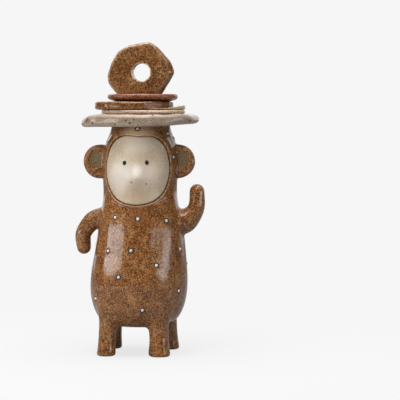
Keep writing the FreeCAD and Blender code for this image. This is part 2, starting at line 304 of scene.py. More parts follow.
# The face's place: a domed oval plate pressed into a pocket of the head. The wet clay round it
# stands up as a thin rim, with a fine groove between rim and plate. Widths run along the head's
# curve, so the face wraps round it.
face_half_width = 27.0
face_half_height = 23.8
face_z = pod_z(0.775)
face_turn = math.radians(1.2)
face_radius = pod_radius(face_z)
pocket_depth = 2.0
face_groove = 0.3
face_rim_width = 1.2
face_rim_height = 0.4
face_rim_fall_share = 0.62
pocket_rounding = 0.5
brow_width = 6.0
brow_height = 1.5
brow_rise_share = 0.4
brow_middle_share = 0.6
brow_fall_share = 0.5
face_outline_shares = [
    (0.07, 0.97), (-0.26, 1.0), (-0.72, 0.85), (-0.93, 0.44), (-1.0, 0.0), (-0.86, -0.52),
    (-0.50, -0.87), (0.04, -1.0), (0.54, -0.86), (0.86, -0.54), (1.0, 0.0), (0.94, 0.46),
    (0.74, 0.84), (0.40, 0.985),
]
face_outline = spline(
    np.array(face_outline_shares) * [face_half_width, face_half_height], closed=True)
face_edge = flat_distance(face_outline)


def face_place(p):
    """Width along the head's curve and height, from the face's middle."""
    turn = np.arctan2(p[:, 0], -p[:, 1]) - face_turn
    return turn * face_radius, p[:, 2] - face_z


def pressed_pod(p):
    """The pod with the face's pocket and rim, and the soft roll of clay over the face."""
    clay = bare_pod(p)
    near = (p[:, 1] < 0) & (np.abs(p[:, 2] - face_z) < face_half_height + 2 * brow_width)
    near &= np.abs(clay) < 4 * pocket_depth
    width, up = face_place(p[near])
    edge = face_edge(width, up)
    ridge = edge - face_groove - face_rim_width / 2
    raised = clay[near] - face_rim_height * np.exp(
        -(ridge / (face_rim_fall_share * face_rim_width)) ** 2)
    over_face = np.clip((up / face_half_height - brow_rise_share) / (1 - brow_rise_share), 0, 1)
    brow = (edge - brow_middle_share * brow_width) / (brow_fall_share * brow_width)
    raised -= brow_height * over_face * np.exp(-brow ** 2)
    pocket = np.maximum(edge - face_groove, -clay[near] - pocket_depth)
    clay[near] = carve(raised, -pocket, pocket_rounding)
    return clay


# The dots and the firing vent. Each dot is a small pale plug in a drilled socket, where the glaze
# has pooled dark. They stand all round the pod, one or two finger widths apart.
dot_radius = 1.2
socket_radius = 1.75
socket_dent = 0.45
vent_radius = 1.7
vent_depth = 5.0
vent_rounding = 0.4
# Each dot: its height as a share of the pod's, and its turn from the front in degrees.
front_dot_shares = [
    (0.542, -31.4), (0.537, 3.3), (0.526, 45.8), (0.375, -38.1), (0.381, -4.8), (0.380, 68.0),
    (0.308, 27.7), (0.250, -18.0), (0.174, 61.6), (0.133, -56.3), (0.087, 12.1),
    (0.978, 1.4), (0.957, 64.6), (0.932, 88.0), (0.839, 69.1), (0.906, -62.3),
]
back_dot_shares = [
    (0.40, -78.0), (0.27, -88.0), (0.30, 98.0), (0.62, 120.0), (0.55, 150.0), (0.57, -170.0),
    (0.54, -128.0), (0.43, 122.0), (0.42, 172.0), (0.40, -148.0), (0.33, -114.0), (0.30, 148.0),
    (0.26, -172.0), (0.19, 112.0), (0.17, -136.0), (0.15, 160.0), (0.12, -100.0), (0.09, -168.0),
    (0.95, 138.0), (0.93, -150.0), (0.86, 172.0), (0.82, 128.0), (0.80, -126.0), (0.74, -162.0),
    (0.71, 146.0),
]
dot_places = []
for height_share, degrees in front_dot_shares + back_dot_shares:
    z = pod_z(height_share)
    turn = math.radians(degrees)
    radius = pod_radius(z)
    dot_places.append((pod_shift(z) + radius * math.sin(turn), -radius * math.cos(turn), z))


def drilled_pod(p):
    """The pod with its vent, and a dent round each dot."""
    clay = pressed_pod(p)
    vent = np.maximum(np.hypot(p[:, 0], p[:, 1]) - vent_radius, p[:, 2] - pod_low[2] - vent_depth)
    clay = carve(clay, -vent, vent_rounding)
    for place in dot_places:
        near = np.abs(p[:, 2] - place[2]) < 2 * socket_radius
        gap = np.linalg.norm(p[near] - place, axis=1)
        clay[near] += socket_dent * np.exp(-(gap / socket_radius) ** 4)
    return clay


# The limbs: rolls of the same clay. The legs are four short stubs that lean in under the belly,
# the arms taper and bend at the elbow, and the ears are thick discs with an oval thumbed into
# each. The monkey's own left arm, on +X, is raised and its right one lowered.
roll_margin = 9


def roll(points):
    """A round roll along a line. The points are (x, y, z, radius)."""
    line = spline(points, pieces=7)
    reach = line[:, 3].max() + roll_margin
    low, high = line[:, :3].min(0) - reach, line[:, :3].max(0) + reach

    def form(p):
        out = np.full(len(p), far_off)
        near = ((p > low) & (p < high)).all(1)
        q = p[near]
        best = np.full(len(q), far_off)
        for a, b in zip(line, line[1:]):
            along = b[:3] - a[:3]
            share = np.clip((q - a[:3]) @ along / (along @ along), 0, 1)
            gap = np.linalg.norm(q - a[:3] - share[:, None] * along, axis=1)
            best = np.minimum(best, gap - a[3] - share * (b[3] - a[3]))
        out[near] = best
        return out
    return form


leg_top = 33.0
sole_rounding = 2.2
leg_lean_share = 0.92
leg_swell_depth = 0.22
leg_swell_size = 17.0
# Up the leg: (height share, radius share). The first is below the ground, where the sole is cut.
leg_form_shares = [
    (-0.2, 1.08), (0.0, 1.08), (0.12, 1.04), (0.3, 0.97), (0.6, 0.98), (1.0, 1.04)]
leg_radii = {"front_left": 7.0, "front_right": 6.15, "rear_left": 6.3, "rear_right": 6.3}
leg_place_shares = {
    "front_left": (0.475, -0.57), "front_right": (-0.625, -0.57),
    "rear_left": (0.555, 0.57), "rear_right": (-0.66, 0.57),
}


def leg(radius, place_shares, seed):
    """A stub that leans in, cut flat at the sole."""
    points = []
    for height, size in leg_form_shares:
        lean = belly_radius * (1 + height * (leg_lean_share - 1))
        x, y = [share * lean for share in place_shares]
        points.append((x, y, height * leg_top, radius * size))
    stub = roll(points)
    return lambda p: carve(
        stub(p) + unevenness(p, leg_swell_depth, leg_swell_size, seed), -p[:, 2], sole_rounding)


arm_root_depth = 5.0
arm_root_flare = 0.6
arm_swell_depth = 0.2
arm_swell_size = 21.0


def arm(side, height_share, radius, reach, rise, shares, seed):
    """A roll that leaves the pod's side and bends. The shares are (out, up, radius)."""
    shoulder = pod_z(height_share)
    surface = pod_radius(shoulder)
    root_radius = radius * shares[0][2] + arm_root_flare
    points = [(side * (surface - arm_root_depth), 0, shoulder, root_radius)]
    for out, up, size in shares:
        points.append((side * (surface + out * reach), 0, shoulder + up * rise, radius * size))
    bent = roll(points)
    return lambda p: bent(p) + unevenness(p, arm_swell_depth, arm_swell_size, seed)


ear_radius = 11.9
ear_thickness = 7.5
ear_z = pod_z(0.811)
ear_out = pod_radius(ear_z) + 0.9
# How far each ear sits outwards and up of its place, by its side.
ear_shifts = {1: (-0.2, 0.7), -1: (0.6, 0.4)}
ear_rounding = 3.0
ear_swell_depth = 0.2
ear_swell_size = 19.0
hollow_place = (0.28 * ear_radius, 0.12 * ear_radius)
hollow_half = (4.3, 6.0)
hollow_depth = 2.2
hollow_floor_rounding = 1.4
hollow_lip_rounding = 1.1


def ear_hollow(p, side, grow):
    """How far outside the oval of an ear's hollow, seen from the front."""
    out, rise = ear_shifts[side]
    across = (side * p[:, 0] - ear_out - out - hollow_place[0]) / (hollow_half[0] + grow)
    up = (p[:, 2] - ear_z - rise - hollow_place[1]) / (hollow_half[1] + grow)
    return (np.hypot(across, up) - 1) * hollow_half[0]


def ear(side, seed):
    """A thick disc with rounded edges and an oval hollow in its front."""
    out, rise = ear_shifts[side]

    def form(p):
        across = np.hypot(p[:, 0] - side * (ear_out + out), p[:, 2] - ear_z - rise)
        across += ear_rounding - ear_radius
        deep = np.abs(p[:, 1]) - ear_thickness / 2 + ear_rounding
        disc = np.hypot(np.maximum(across, 0), np.maximum(deep, 0))
        disc += np.minimum(np.maximum(across, deep), 0) - ear_rounding
        disc += unevenness(p, ear_swell_depth, ear_swell_size, seed)
        floor = p[:, 1] + ear_thickness / 2 - hollow_depth
        hollow = carve(ear_hollow(p, side, 0), floor, hollow_floor_rounding)
        return carve(disc, -hollow, hollow_lip_rounding)
    return form


left_arm_shares = [
    (0.16, 0.02, 1.66), (0.60, 0.18, 1.34), (0.93, 0.47, 1.07), (1.0, 0.77, 1.0), (1.0, 1.0, 0.98),
]
right_arm_shares = [
    (0.24, -0.06, 1.22), (0.74, -0.30, 1.12), (1.01, -0.573, 1.03), (1.0, -0.84, 0.96),
    (0.97, -1.0, 0.89),
]
leg_root_reach = 4.6
# Each limb's form, and over what reach its root is smoothed into the pod.
limbs = {
    "arm_left": (arm(1, 0.512, 5.35, 11.4, 21.3, left_arm_shares, 11), 2.4),
    "arm_right": (arm(-1, 0.531, 5.4, 11.4, 21.0, right_arm_shares, 12), 2.6),
    "ear_left": (ear(1, 13), 1.4),
    "ear_right": (ear(-1, 14), 1.4),
}
for seed, (name, radius) in enumerate(leg_radii.items(), 15):
    limbs["leg_" + name] = (leg(radius, leg_place_shares[name], seed), leg_root_reach)


def figure(p):
    """The pod and all its limbs, melted together."""
    clay = drilled_pod(p)
    for form, reach in limbs.values():
        clay = melt(clay, form(p), reach)
    return clay


def hex_colour(code):
    """An sRGB hex colour as the linear colour that a shader takes."""
    shares = [int(code[k:k + 2], 16) / 255 for k in (1, 3, 5)]
    return [s / 12.92 if s < 0.04045 else ((s + 0.055) / 1.055) ** 2.4 for s in shares] + [1]


def add(tree, kind, values=(), **settings):
    """A node with its settings, and with values or links in its inputs."""
    node = tree.nodes.new(kind)
    for name, value in settings.items():
        setattr(node, name, value)
    for key, value in dict(values).items():
        if isinstance(value, bpy.types.NodeSocket):
            tree.links.new(value, node.inputs[key])
        else:
            node.inputs[key].default_value = value
    return node


def per_metre(size):
    """The scale that gives a pattern a grain of this many millimetres."""
    return 1 / (size * mm)


# The glaze's grain. Real flecks are about half a millimetre wide, and are drawn coarser to show.
fleck_size = 1.0
break_size = 1.1
pit_size = 1.3
pit_depth = 0.35
sheen_size = 2.4
spot_spacing = 4.2


def glaze(name, base, dark, light, edge, fleck, mottle=9.0, fleck_share=0.36, spots=0.0,
          edge_highlight_share=1.0, shine=0.14, coat=0.25):
    """Reduction-fired stoneware glaze: mottled, full of iron flecks, and pale on sharp edges, where
    the glaze runs thin and the pale edge colour is also a painted highlight.

    mottle is the size of its clouds, spots how large its iron spots are, shine its roughness.
    """
    material = bpy.data.materials.new(name)
    material.use_nodes = True
    tree = material.node_tree
    shader = tree.nodes["Principled BSDF"]
    where = add(tree, "ShaderNodeTexCoord").outputs["Object"]

    def grain(size, detail=2.0, roughness=0.5):
        return add(tree, "ShaderNodeTexNoise", {
            "Vector": where, "Scale": per_metre(size), "Detail": detail,
            "Roughness": roughness}).outputs["Fac"]

    def spread(value, low, high, start=0.0, end=1.0):
        return add(tree, "ShaderNodeMapRange", {
            "Value": value, "From Min": low, "From Max": high, "To Min": start,
            "To Max": end}).outputs["Result"]

    def over(share, below, above):
        return add(tree, "ShaderNodeMix", {0: share, 6: below, 7: above},
                   data_type="RGBA").outputs[2]

    turn = add(tree, "ShaderNodeAttribute", attribute_name="turn").outputs["Fac"]
    colour = over(spread(grain(mottle, 3), 0.40, 0.62), hex_colour(base), hex_colour(dark))
    colour = over(spread(grain(mottle * 0.55, 2), 0.52, 0.72, 0, 0.7), colour, hex_colour(light))
    breaks = spread(grain(break_size, 1, 0.6), 0.52, 0.60, 0, 0.7)
    colour = over(breaks, colour, hex_colour(light))
    # The edge colour on sharp convex edges: thin glaze, and painted highlight along rims and bevels.
    thin = spread(turn, 0.25, 0.95, 0, edge_highlight_share)
    colour = over(thin, colour, hex_colour(edge))
    colour = over(spread(turn, -0.12, -0.8, 0, 0.8), colour, hex_colour(dark))
    low = 0.475 + 0.5 * (0.5 - fleck_share)
    flecks = spread(grain(fleck_size, 1.0, 0.6), low, low + 0.06, 0, 0.8)
    colour = over(flecks, colour, hex_colour(fleck))
    if spots:
        cells = add(tree, "ShaderNodeTexVoronoi", {
            "Vector": where, "Scale": per_metre(spot_spacing)})
        spot = spread(cells.outputs["Distance"], 0.05 + 0.1 * spots, 0.02 + 0.07 * spots)
        chosen = spread(cells.outputs["Color"], 0.55, 0.60)
        spot = add(tree, "ShaderNodeMath", {0: spot, 1: chosen}, operation="MULTIPLY").outputs[0]
        colour = over(spot, colour, hex_colour(fleck))
    tree.links.new(colour, shader.inputs["Base Color"])
    rough = spread(grain(sheen_size, 2), 0.3, 0.7, shine * 0.8, shine * 1.25)
    tree.links.new(rough, shader.inputs["Roughness"])
    pits = add(tree, "ShaderNodeBump", {
        "Height": grain(pit_size, 3, 0.6), "Strength": 0.07, "Distance": pit_depth * mm})
    tree.links.new(pits.outputs[0], shader.inputs["Normal"])
    shader.inputs["IOR"].default_value = 1.52
    shader.inputs["Coat Weight"].default_value = coat
    shader.inputs["Coat Roughness"].default_value = 0.10
    return material


# A glossy iron glaze over speckled clay: brown clouds, dark flecks close together, tan edges of thin
# glaze and painted highlight.
body_glaze = glaze(
    "speckled brown stoneware glaze", "#9E632F", "#7E461A", "#BA8F5C", "#B2824E", "#40200A",
    fleck_share=0.43)
# Where the skin is looked for: the whole figure, up to the top of the pod.
figure_low = np.array(cad_box[0]) / mm
figure_high = np.array(cad_box[1]) / mm
figure_high[2] = pod_high[2]


def dress(made, material, slot, *nodes):
    """Gives a finished piece its glaze and its place in the frame."""
    made.data.materials.clear()
    made.data.materials.append(material)
    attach(made, "root")
    if nodes:
        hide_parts(*nodes)
    return made


limb_cap_depth = 2.0
pod_cap_depth = 3.0
points, triangles = skin(figure, figure_low, figure_high, skin_step)
for name, (form, _) in limbs.items():
    side = form(points) - pressed_pod(points)
    points, triangles, limb = part(points, triangles, side)
    limb = close(points, limb, limb_cap_depth)
    dress(piece(name + "_clay", figure, *limb), body_glaze, "body_glaze", name)
pod = piece("pod_clay", figure, *close(points, triangles, pod_cap_depth))
dress(pod, body_glaze, "body_glaze", "body_shell")


# The face plate: one domed pad of cream-glazed clay with a soft muzzle, a small nose and two
# thumbed hollows for the eyes. Its edge rolls down into the groove. The eyes are black beads of
# glass glaze, and an olive glaze lies in the hollow of each ear.
face_crown = 1.7
face_sink = 0.35
face_roll = 1.8
plate_gap = 0.08
eye_places = {"eye_right": (-0.272, 0.215), "eye_left": (0.277, 0.227)}
eye_radius = 1.5
eye_tall_share = 1.15
eye_sunk = 0.45
eye_search_steps = 400
# Each hill: its place as shares of the face, its height and its radius.
face_hills = [
    ((0.04, -0.20), 2.2, 4.6), ((0.05, 0.07), 1.0, 3.8), ((0.02, -0.27), 1.8, 10.5),
    ((-0.30, 0.215), -0.4, 4.8), ((0.30, 0.227), -0.4, 4.8),
]


def face_lift(width, up):
    """How far the plate stands out of the head's own curve."""
    far = (width / face_half_width) ** 2 + (up / face_half_height) ** 2
    lift = (face_crown + face_sink) * np.maximum(0, 1 - far) - face_sink
    for place, height, radius in face_hills:
        gap = (width - place[0] * face_half_width) ** 2 + (up - place[1] * face_half_height) ** 2
        lift = lift + height * np.exp(-gap / radius ** 2)
    return lift


def face_clay(p):
    """The face plate, which ends a hair above the floor of its pocket."""
    clay = bare_pod(p)
    width, up = face_place(p)
    front = carve(face_edge(width, up), clay - face_lift(width, up), face_roll)
    return np.maximum(np.maximum(front, plate_gap - clay - pocket_depth), p[:, 1])


def eye_clay(place):
    """A bead a little taller than wide, pressed into the face at its place."""
    width, up = place[0] * face_half_width, place[1] * face_half_height
    turn = face_turn + width / face_radius
    out = np.array([math.sin(turn), -math.cos(turn), 0])
    inner, outer = face_radius - pocket_depth / 2, face_radius + 3 * face_crown
    reach = np.linspace(inner, outer, eye_search_steps)
    far = np.array([[0, 0, face_z + up]]) + np.outer(reach, out)
    surface = np.interp(0, face_clay(far), reach)
    middle = np.array([0, 0, face_z + up]) + (surface - eye_sunk) * out
    shape = np.array([1, 1, 1 / eye_tall_share])
    return middle, lambda p: np.linalg.norm((p - middle) * shape, axis=1) - eye_radius


ear_pad_grow = 0.15
ear_pad_front = 1.2
ear_pad_back = 2.6
ear_pad_dish = 3.0
ear_pad_dish_share = 0.10
ear_pad_clear = 0.3


def ear_pad(side):
    """The olive glaze in an ear's hollow, a little dished, which ends clear of the pod."""
    def form(p):
        oval = ear_hollow(p, side, ear_pad_grow)
        front = ear_pad_front - ear_thickness / 2 - ear_pad_dish_share * np.maximum(
            oval, -ear_pad_dish)
        back = p[:, 1] + ear_thickness / 2 - ear_pad_back
        pad = np.maximum(np.maximum(oval, front - p[:, 1]), back)
        return np.maximum(pad, ear_pad_clear - bare_pod(p))
    return form


# A satin cream glaze: warm, softly clouded, with next to no flecks and a wide dull highlight.
face_glaze = glaze(
    "cream stoneware glaze", "#D0BBA0", "#C4AD90", "#DCCCB8", "#E2D6C6", "#A98560", mottle=18,
    fleck_share=0.0, spots=0.15, edge_highlight_share=0.4, shine=0.34, coat=0.0)
# On the face plate, soft pale patches of painted highlight and painted light lie on the cheeks,
# the nose and the top of the face, a darker patch lies between the eyes, and painted shade darkens
# the chin. Two iron spots came up through the glaze under the nose. Each: place, radius, colour
# and strength.
face_painted_light_and_iron_spots = (
    ((-0.36, -0.14), 16, "#E8DED2", 0.75), ((0.24, -0.10), 14, "#ECD8C6", 0.75),
    ((0.06, 0.0), 5.5, "#F8F2EC", 0.7),
    ((0.0, 0.80), 14, "#ECDFCC", 0.7), ((0.08, 0.38), 9, "#C6B090", 0.4),
    ((0.05, -0.74), 13, "#C4AC88", 0.6),
    ((-0.085, -0.335), 1.3, "#8A4420", 0.85), ((0.266, -0.384), 0.9, "#4A3524", 0.8))


def on_face(place):
    """The point that a place on the face or the brow has in the frame."""
    turn = face_turn + place[0] * face_half_width / face_radius
    reach = face_radius + face_crown
    return reach * math.sin(turn), -reach * math.cos(turn), face_z + place[1] * face_half_height


# Depth counts little in a patch, so that it is round from the front, and it fades outwards from
# a share of its radius.
patch_depth_share = 0.2
patch_full_share = 0.2


def patch(material, middle, radius, code, strength):
    """A soft round patch of another colour in a glaze."""
    tree = material.node_tree
    base = tree.nodes["Principled BSDF"].inputs["Base Color"]
    middle = [c * mm for c in middle]
    where = add(tree, "ShaderNodeTexCoord").outputs["Object"]
    wide = add(
        tree, "ShaderNodeVectorMath", {0: where, 1: middle}, operation="SUBTRACT").outputs[0]
    flat = add(tree, "ShaderNodeVectorMath", {
        0: wide, 1: (1, patch_depth_share, 1)}, operation="MULTIPLY").outputs[0]
    far = add(tree, "ShaderNodeVectorMath", {0: flat}, operation="LENGTH").outputs["Value"]
    share = add(tree, "ShaderNodeMapRange", {
        "Value": far, "From Min": radius * mm, "From Max": patch_full_share * radius * mm,
        "To Max": strength}, interpolation_type="SMOOTHSTEP")
    mixed = add(tree, "ShaderNodeMix", {
        0: share.outputs[0], 6: base.links[0].from_socket, 7: hex_colour(code)}, data_type="RGBA")
    tree.links.new(mixed.outputs[2], base)


# Lays the painted highlight, painted light, painted shade and iron spots onto the cream glaze.
for place, radius, code, strength in face_painted_light_and_iron_spots:
    patch(face_glaze, on_face(place), radius, code, strength)
# On the body, a pale gold patch over the brow is painted light where the brim shades it, on glaze
# that breaks to gold there.
patch(body_glaze, on_face((0.05, 1.16)), 16, "#F4D6AE", 0.6)
# Under the chin the brown glaze is darker: painted shade.
patch(body_glaze, on_face((0.10, -1.36)), 13, "#74441E", 0.5)
# Black glass, all gloss.
bead_glaze = glaze(
    "black glass glaze", "#060504", "#040303", "#0A0807", "#060504", "#000000", shine=0.08)
# An ash glaze that runs into hollows: dull olive brown, finely clouded.
olive_glaze = glaze(
    "olive ash glaze", "#60421E", "#503616", "#705228", "#8C7650", "#3C2810", mottle=6,
    fleck_share=0.2, shine=0.3)
face_low, face_high = node_box("face_plate")
face_step = 0.45
face_margin = 2
face_skin = skin(face_clay, face_low - face_margin, face_high + face_margin, face_step)
face = piece("face_plate_clay", face_clay, *face_skin)
dress(face, face_glaze, "face_glaze", "face_plate")
bead_step = 0.2
bead_margin = 2
for name, place in eye_places.items():
    middle, bead = eye_clay(place)
    bead_skin = skin(bead, middle - bead_margin, middle + bead_margin, bead_step)
    dress(piece(name + "_bead", bead, *bead_skin), bead_glaze, "eye_glaze", name)
pad_step = 0.35
pad_margin = 1
for name, side in (("ear_left", 1), ("ear_right", -1)):
    low, high = node_box("inner_" + name)
    pad = ear_pad(side)
    pad_skin = skin(pad, low - pad_margin, high + pad_margin, pad_step)
    made = piece("inner_" + name + "_glaze", pad, *pad_skin)
    dress(made, olive_glaze, "olive_glaze", "inner_" + name)


# The dots: plugs of pale clay with domed ends, each standing in its socket with a ring of dark
# glaze round it. Geometry Nodes set them on the pod's own surface, square to it.
plug_sunk = 0.1
stem_draw_share = 0.6
ring_radius = 1.62
ring_thickness = 0.42
ring_sunk = -0.05


def dot_tree(name, shape):
    """A tree that sets a shape on the nearest surface of the pod, at each point of a mesh."""
    tree = bpy.data.node_groups.new(name, "GeometryNodeTree")
    sockets = (
        ("Places", "INPUT", "NodeSocketGeometry"), ("Pod", "INPUT", "NodeSocketObject"),
        ("Glaze", "INPUT", "NodeSocketMaterial"), ("Radius", "INPUT", "NodeSocketFloat"),
        ("Thickness", "INPUT", "NodeSocketFloat"), ("Sunk", "INPUT", "NodeSocketFloat"),
        ("Dots", "OUTPUT", "NodeSocketGeometry"))
    for label, way, kind in sockets:
        tree.interface.new_socket(label, in_out=way, socket_type=kind)
    given = add(tree, "NodeGroupInput").outputs
    clay = add(tree, "GeometryNodeObjectInfo", {"Object": given["Pod"]}).outputs["Geometry"]
    nearest = add(tree, "GeometryNodeProximity", {0: clay}).outputs["Position"]
    placed = add(tree, "GeometryNodeSetPosition", {"Geometry": given["Places"], "Position": nearest})
    normal = add(tree, "GeometryNodeInputNormal").outputs[0]
    out = add(tree, "GeometryNodeSampleNearestSurface", {"Mesh": clay, "Value": normal},
              data_type="FLOAT_VECTOR").outputs["Value"]
    turned = add(tree, "FunctionNodeAlignRotationToVector", {"Vector": out}, axis="Z").outputs[0]
    back = add(tree, "ShaderNodeMath", {0: given["Sunk"], 1: -1.0}, operation="MULTIPLY").outputs[0]
    shift = add(tree, "ShaderNodeVectorMath", {0: out, "Scale": back}, operation="SCALE").outputs[0]
    sunk = add(tree, "GeometryNodeSetPosition", {"Geometry": placed.outputs[0], "Offset": shift})
    dots = add(tree, "GeometryNodeInstanceOnPoints", {
        "Points": sunk.outputs[0], "Instance": shape(tree, given), "Rotation": turned})
    real = add(tree, "GeometryNodeRealizeInstances", {0: dots.outputs[0]})
    smooth = add(tree, "GeometryNodeSetShadeSmooth", {0: real.outputs[0]})
    glazed = add(tree, "GeometryNodeSetMaterial", {0: smooth.outputs[0], "Material": given["Glaze"]})
    add(tree, "NodeGroupOutput", {0: glazed.outputs[0]})
    return tree


def plug_shape(tree, given):
    """A round stem with a domed end: a ball whose lower half is drawn out."""
    ball = add(tree, "GeometryNodeMeshUVSphere", {
        "Segments": 16, "Rings": 10, "Radius": given["Radius"]}).outputs["Mesh"]
    place = add(tree, "GeometryNodeInputPosition").outputs[0]
    height = add(tree, "ShaderNodeSeparateXYZ", {0: place}).outputs["Z"]
    low = add(tree, "ShaderNodeMath", {0: height, 1: 0.0}, operation="MINIMUM").outputs[0]
    drop = add(
        tree, "ShaderNodeMath", {0: low, 1: stem_draw_share}, operation="MULTIPLY").outputs[0]
    offset = add(tree, "ShaderNodeCombineXYZ", {"Z": drop}).outputs[0]
    return add(tree, "GeometryNodeSetPosition", {0: ball, "Offset": offset}).outputs[0]


def ring_shape(tree, given):
    """A ring of pooled glaze."""
    path = add(tree, "GeometryNodeCurvePrimitiveCircle", {
        "Resolution": 20, "Radius": given["Radius"]}).outputs[0]
    section = add(tree, "GeometryNodeCurvePrimitiveCircle", {
        "Resolution": 8, "Radius": given["Thickness"]}).outputs[0]
    return add(tree, "GeometryNodeCurveToMesh", {0: path, "Profile Curve": section}).outputs[0]


def set_dots(name, tree, glaze_used, radius, thickness, sunk):
    """Runs a dot tree at all the places and keeps the result as a plain mesh."""
    mesh = bpy.data.meshes.new(name)
    mesh.from_pydata([tuple(c * mm for c in place) for place in dot_places], [], [])
    made = bpy.data.objects.new(name, mesh)
    bpy.context.scene.collection.objects.link(made)
    modifier = made.modifiers.new(name, "NODES")
    modifier.node_group = tree
    values = {"Pod": pod, "Glaze": glaze_used, "Radius": radius * mm,
              "Thickness": thickness * mm, "Sunk": sunk * mm}
    for socket in tree.interface.items_tree:
        if socket.name in values:
            modifier[socket.identifier] = values[socket.name]
    bpy.context.view_layer.update()
    shown = made.evaluated_get(bpy.context.evaluated_depsgraph_get())
    made.data = bpy.data.meshes.new_from_object(shown)
    made.modifiers.clear()
    return made


# White clay under a clear glaze: nearly plain, bright and glossy.
pale_clay = glaze(
    "pale clay under clear glaze", "#EDE6DA", "#DDD2C0", "#F6F1E8", "#F6F1E8", "#B9A68C",
    fleck_share=0.05, shine=0.15)
# The same brown glaze, pooled so thick that it fires nearly black.
dark_glaze = glaze(
    "pooled dark glaze", "#160C05", "#0E0703", "#1E120A", "#160C05", "#0A0502", shine=0.2)
plugs = set_dots("dot_plugs_clay", dot_tree("dot plugs", plug_shape), pale_clay,
                 dot_radius, 0, plug_sunk)
dress(plugs, pale_clay, "dot_clay", "dot_plugs")
rings = set_dots("dot_rings_glaze", dot_tree("dot rings", ring_shape), dark_glaze,
                 ring_radius, ring_thickness, ring_sunk)
dress(rings, dark_glaze, "dot_clay")


# The hat: five slabs torn from rolled sheets and stacked while soft. Each is glazed its own
# colour, and its torn edge is rounded by the melt. The wide brim tilts up a little to the right
# and is thinner at its ends.
slab_step = 0.55
chip_step = 0.4
torn_cell = 0.35
torn_pieces = 12
torn_depth = 0.35
slab_torn_size = 15.0
slab_wave_size = 26.0
draw_limit = 1.2


def rounded(edge, up, rounding):
    """A flat form's outside, from how far a point is past its edge and past its faces."""
    q, r = edge + rounding, up + rounding
    return np.hypot(np.maximum(q, 0), np.maximum(r, 0)) + np.minimum(np.maximum(q, r), 0) - rounding


def slab(node, shares, rounding, under=(0, 1), over=(0, 1), lift=(0, 1), seed=0, swell=0.3):
    """One torn slab. under and over say how far, and over what reach, its faces draw in.

    lift says how far its top stands up at its right-hand end, and over what reach.
    """
    low, high = node_box(node)
    middle, half = (low + high) / 2, (high - low) / 2
    turns = 2 * np.pi * np.arange(len(shares)) / len(shares)
    ring = np.column_stack([np.cos(turns), np.sin(turns)]) * np.array(shares)[:, None]
    ring = ring / np.abs(ring).max(0) * half[:2] + middle[:2]
    torn = flat_distance(spline(ring, closed=True, pieces=torn_pieces), cell=torn_cell)

    def form(p):
        edge = torn(p[:, 0], p[:, 1]) + unevenness(p, torn_depth, slab_torn_size, seed)
        waves = unevenness(p * [1, 1, 0], swell, slab_wave_size, seed + 1)
        bottom = low[2] + under[0] * np.clip(1 + edge / under[1], 0, draw_limit) ** 2
        top = high[2] - over[0] * np.clip(1 + edge / over[1], 0, draw_limit) ** 2
        top += lift[0] * np.clip(1 + (p[:, 0] - high[0]) / lift[1], 0, 1)
        return rounded(edge, np.maximum(p[:, 2] - top - waves, bottom - p[:, 2]), rounding)
    return form


def make_slab(node, form, material, slot, margin=2.0, step=slab_step):
    """A slab's piece, looked for in its node's box and a margin round it."""
    low, high = node_box(node)
    made = piece(node + "_clay", form, *skin(form, low - margin, high + margin, step))
    return dress(made, material, slot, node)


# The brim's top and under side from left to right: (x, height).
brim_top_line = spline([
    (-44, 162.4), (-40, 164.0), (-35, 165.9), (-28, 167.1), (-20, 167.4), (0, 167.3), (18, 167.3),
    (32, 167.3), (40, 166.3), (45, 165.7)])
brim_under_line = spline([
    (-45, 158.2), (-20, 158.7), (0, 158.9), (20, 159.3), (33, 160.3), (45, 161.2)])
brim_shares = [1.0, 1.0, 0.98, 1.0, 1.01, 0.98, 1.0, 1.01, 0.98, 1.0, 0.98, 1.0]
brim_step_degrees = 360 / len(brim_shares)
brim_torn_size = 18.0
brim_torn_seed = 21
brim_wave_depth = 0.35
brim_wave_size = 24.0
brim_wave_seed = 22
brim_under_wave_share = 0.5
brim_rounding = 3.0
brim_seat_gap = 0.05
brim_low, brim_high = node_box("hat_brim")
brim_middle, brim_half = (brim_high + brim_low) / 2, (brim_high - brim_low) / 2
brim_turns = [math.radians(brim_step_degrees * k) for k in range(len(brim_shares))]
brim_ring = np.array([
    (math.cos(turn) * share, math.sin(turn) * share)
    for turn, share in zip(brim_turns, brim_shares)]) * brim_half[:2] + brim_middle[:2]
brim_torn = flat_distance(spline(brim_ring, closed=True, pieces=torn_pieces), cell=torn_cell)


def brim(p):
    """The wide brim, with its middle cut to the head that it sits on."""
    edge = brim_torn(p[:, 0], p[:, 1]) + unevenness(p, torn_depth, brim_torn_size, brim_torn_seed)
    waves = unevenness(p * [1, 1, 0], brim_wave_depth, brim_wave_size, brim_wave_seed)
    top = np.interp(p[:, 0], brim_top_line[:, 0], brim_top_line[:, 1]) + waves
    under = np.interp(p[:, 0], brim_under_line[:, 0], brim_under_line[:, 1])
    under = under + brim_under_wave_share * waves
    clay = rounded(edge, np.maximum(p[:, 2] - top, under - p[:, 2]), brim_rounding)
    return np.maximum(clay, brim_seat_gap - bare_pod(p))


# Oatmeal over dark clay: satin, cloudy, with a few large iron spots, and pale on the edges: thin
# glaze and painted highlight.
brim_glaze = glaze(
    "oatmeal stoneware glaze", "#94806A", "#88705A", "#B09C86", "#F0E4D6", "#5E3418", mottle=18,
    fleck_share=0.10, spots=2.4, edge_highlight_share=0.9, shine=0.2)
# Shell pink, broken by brown flecks.
pink_glaze = glaze(
    "shell pink glaze", "#BE9880", "#A47E66", "#D0B09A", "#E2CAB6", "#6E4628", fleck_share=0.33)
# Pepper-brown, dipped in straw at one end.
pale_glaze = glaze(
    "straw glaze over pepper-brown", "#845428", "#6A401A", "#9C764A", "#B08858", "#3C1E0A",
    fleck_share=0.40)
